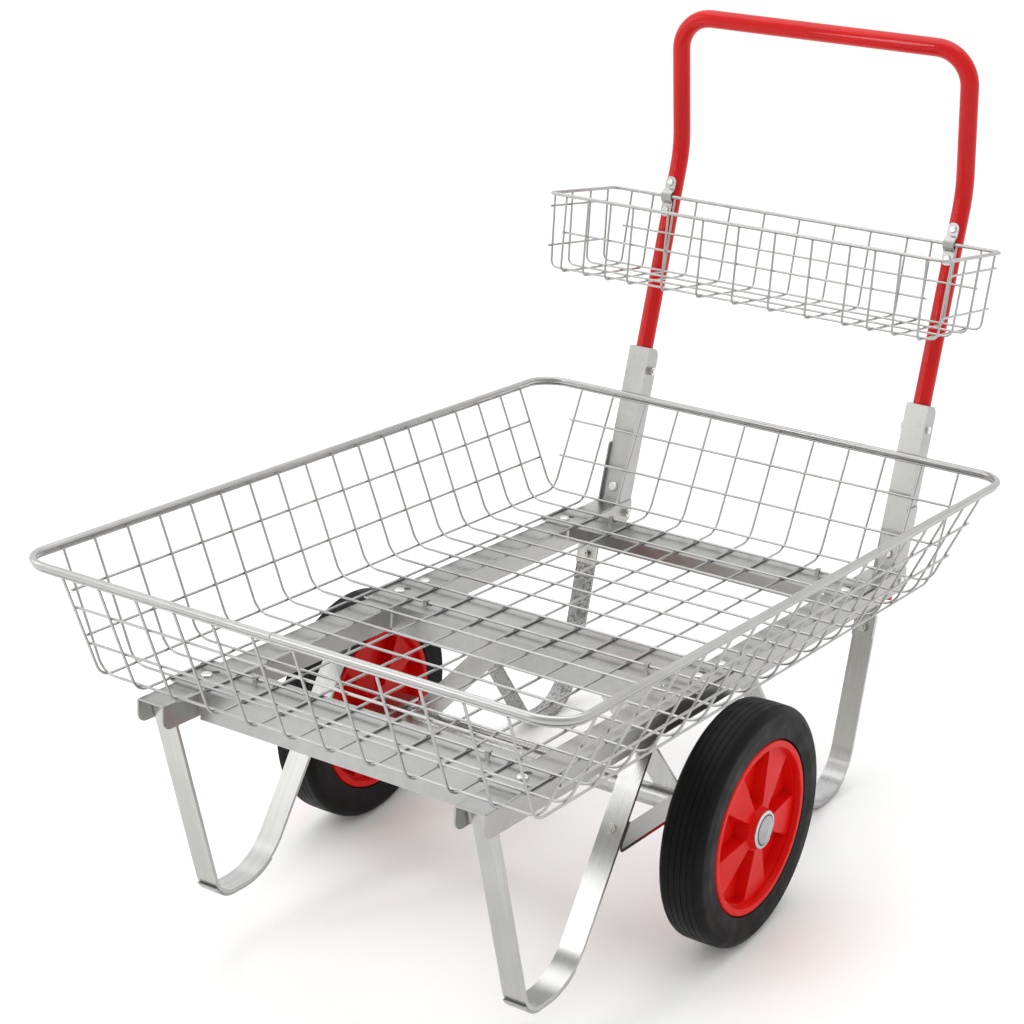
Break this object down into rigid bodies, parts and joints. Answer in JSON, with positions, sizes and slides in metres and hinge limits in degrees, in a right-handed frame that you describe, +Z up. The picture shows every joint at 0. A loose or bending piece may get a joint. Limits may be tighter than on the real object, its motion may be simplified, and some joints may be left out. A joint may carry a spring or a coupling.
{
  "type": "garden cart",
  "caption": "Two-wheeled garden cart with a wire basket, a tool tray on a tubular push handle and folded-bar legs.",
  "frame": {"origin": "centre of the footprint's bounding box, on the ground plane the tyres and rear feet stand on", "axes": "+Z up, +Y from the open front end towards the push handle, +X towards the cart's right wheel as seen from the front, facing the basket"},
  "size_m": [0.6592, 1.0972, 0.8586],
  "materials": {
    "zinc_sheet": "galvanised sheet steel, satin, slightly mottled",
    "zinc_bar": "zinc-plated flat bar and tube, soft satin",
    "zinc_wire": "zinc-plated round wire, satin",
    "bright_zinc": "bright zinc-plated fasteners",
    "red_paint": "gloss powder coat on steel tube",
    "red_plastic": "moulded plastic, light sheen",
    "bush_plastic": "black bearing plastic",
    "tyre": "solid rubber, matt",
    "chrome": "polished cap"
  },
  "bodies": {
    "root": {"axle_shaft": "zinc_bar", "axle_tube": "zinc_bar", "basket_cross_wires": "zinc_wire", "basket_hoop": "zinc_wire", "basket_length_wires": "zinc_wire", "basket_rim": "zinc_wire", "basket_wall_wires": "zinc_wire", "brace_bolts": "bright_zinc", "brace_nuts": "bright_zinc", "frame_bolts": "bright_zinc", "frame_nuts": "bright_zinc", "front_crossmember": "zinc_sheet", "front_left_leg": "zinc_bar", "front_left_shoe": "zinc_sheet", "front_right_leg": "zinc_bar", "front_right_shoe": "zinc_sheet", "handle": "red_paint", "handle_bolts": "bright_zinc", "handle_nuts": "bright_zinc", "left_axle_saddle": "zinc_bar", "left_axle_stay": "zinc_bar", "left_axle_strut": "zinc_bar", "left_gusset": "zinc_sheet", "left_rail": "zinc_sheet", "left_retainer": "bright_zinc", "left_tray_clip": "zinc_sheet", "left_upright": "zinc_sheet", "left_washers": "bright_zinc", "middle_crossmember": "zinc_sheet", "rear_crossmember": "zinc_sheet", "rear_left_leg": "zinc_bar", "rear_left_leg_bracket": "zinc_bar", "rear_left_shoe": "zinc_sheet", "rear_right_leg": "zinc_bar", "rear_right_leg_bracket": "zinc_bar", "rear_right_shoe": "zinc_sheet", "right_axle_saddle": "zinc_bar", "right_axle_stay": "zinc_bar", "right_axle_strut": "zinc_bar", "right_gusset": "zinc_sheet", "right_rail": "zinc_sheet", "right_retainer": "bright_zinc", "right_tray_clip": "zinc_sheet", "right_upright": "zinc_sheet", "right_washers": "bright_zinc", "tray_clip_screws": "bright_zinc", "tray_cross_wires": "zinc_wire", "tray_length_wires": "zinc_wire", "tray_rim": "zinc_wire", "tray_wall_wires": "zinc_wire", "upright_screws": "bright_zinc"},
    "left_wheel": {"left_hub_cap": "chrome", "left_tyre": "tyre", "left_wheel_bushes": "bush_plastic", "left_wheel_centre": "red_plastic"},
    "right_wheel": {"right_hub_cap": "chrome", "right_tyre": "tyre", "right_wheel_bushes": "bush_plastic", "right_wheel_centre": "red_plastic"}
  },
  "joints": [
    {"name": "left_wheel_spin", "type": "hinge", "parent": "root", "child": "left_wheel", "pos_m": [-0.2545, -0.08568, 0.135], "axis": [1, 0, 0], "continuous": true},
    {"name": "right_wheel_spin", "type": "hinge", "parent": "root", "child": "right_wheel", "pos_m": [0.2545, -0.08568, 0.135], "axis": [1, 0, 0], "continuous": true}
  ]
}
